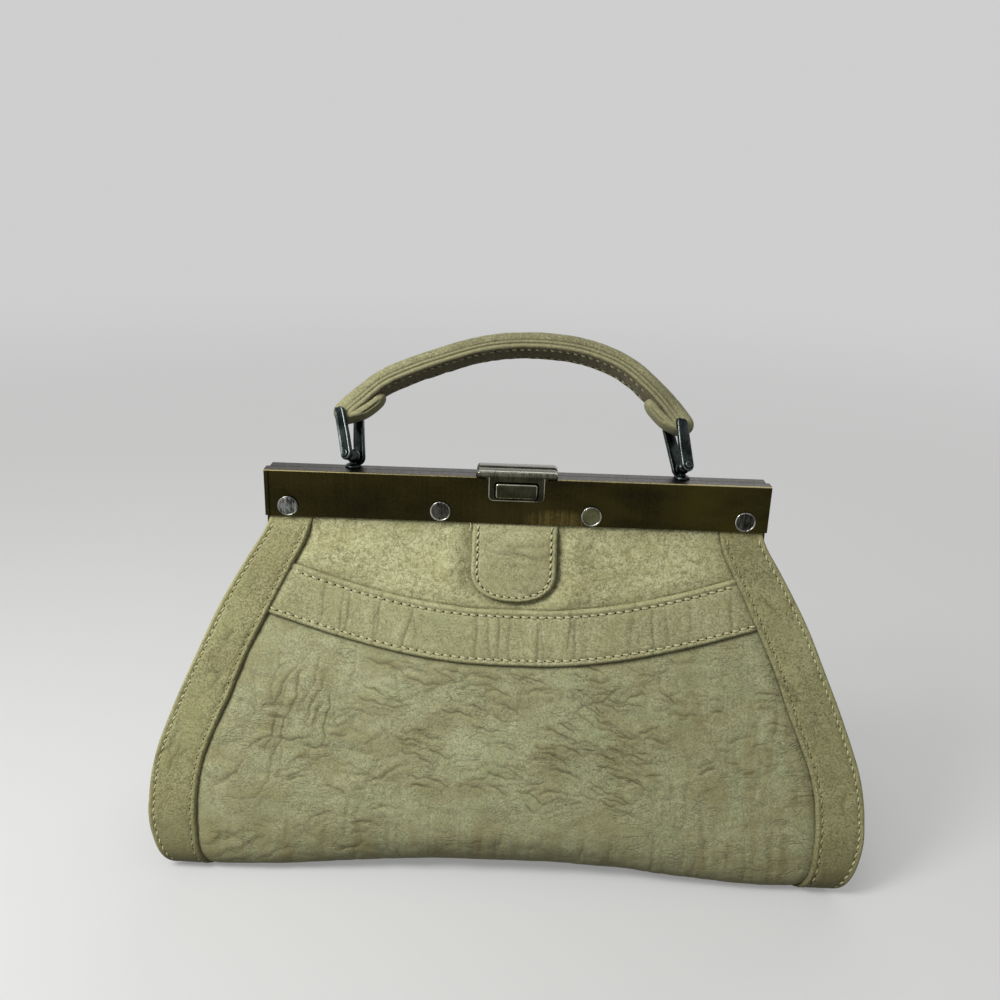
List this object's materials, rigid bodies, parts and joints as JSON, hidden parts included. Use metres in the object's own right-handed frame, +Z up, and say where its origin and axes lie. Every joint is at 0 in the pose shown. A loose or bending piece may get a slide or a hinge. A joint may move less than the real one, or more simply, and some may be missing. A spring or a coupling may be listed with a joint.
{
  "type": "frame handbag",
  "caption": "Leather handbag that hangs from a hinged metal frame with a push-button clasp, with a padded top handle on two twisted links.",
  "frame": {"origin": "on the floor, under the middle of the base", "axes": "+Z up, front of the bag towards -Y, +X to the right as seen from the front"},
  "size_m": [0.296, 0.084, 0.218],
  "materials": {
    "leather": "olive nubuck",
    "lining": "matt twill",
    "board": "matt fibreboard",
    "cord": "twisted cotton",
    "antique_brass": "dark antiqued, brushed",
    "nickel": "worn nickel plating",
    "gunmetal": "dark gunmetal plating",
    "steel": "bare spring steel"
  },
  "bodies": {
    "bag": {"front_rail": "antique_brass", "hinge_pin_left": "steel", "hinge_pin_right": "steel", "front_clamp_strip": "steel", "front_rivets": "nickel", "lock_plate": "gunmetal", "latch_spring": "steel", "front_yoke": "leather", "front_band": "leather", "front_panel": "leather", "front_side_band_left": "leather", "front_side_band_right": "leather", "clasp_tab": "leather", "base_panel": "leather", "back_panel": "leather", "back_side_band_left": "leather", "back_side_band_right": "leather", "back_fold": "leather", "gusset_left": "leather", "gusset_right": "leather", "lining": "lining", "base_board": "board"},
    "back_frame": {"back_rail": "antique_brass", "back_clamp_strip": "steel", "back_rivets": "nickel", "back_yoke": "leather", "clasp_cap": "gunmetal", "latch_strike": "steel", "handle_post_left": "gunmetal", "handle_post_right": "gunmetal"},
    "button": {"push_button": "gunmetal"},
    "handle": {"handle_cover": "leather", "handle_core": "cord", "handle_underlay": "leather", "handle_loop_left": "leather", "handle_loop_right": "leather", "link_left": "gunmetal", "link_right": "gunmetal", "link_studs": "gunmetal"}
  },
  "joints": [
    {"name": "frame_open", "type": "hinge", "parent": "bag", "child": "back_frame", "pos_m": [0, 0, 0.1275], "axis": [-1, 0, 0], "range_deg": [0, 60], "deforming": ["back_fold", "latch_spring"]},
    {"name": "handle_tilt", "type": "hinge", "parent": "back_frame", "child": "handle", "pos_m": [0, 0.00285, 0.1694], "axis": [1, 0, 0], "range_deg": [0, 70]},
    {"name": "button_press", "type": "slide", "parent": "bag", "child": "button", "axis": [0, 1, 0], "range_m": [0, 0.0012], "stiffness_N_per_m": 800, "deforming": ["latch_spring"]}
  ]
}
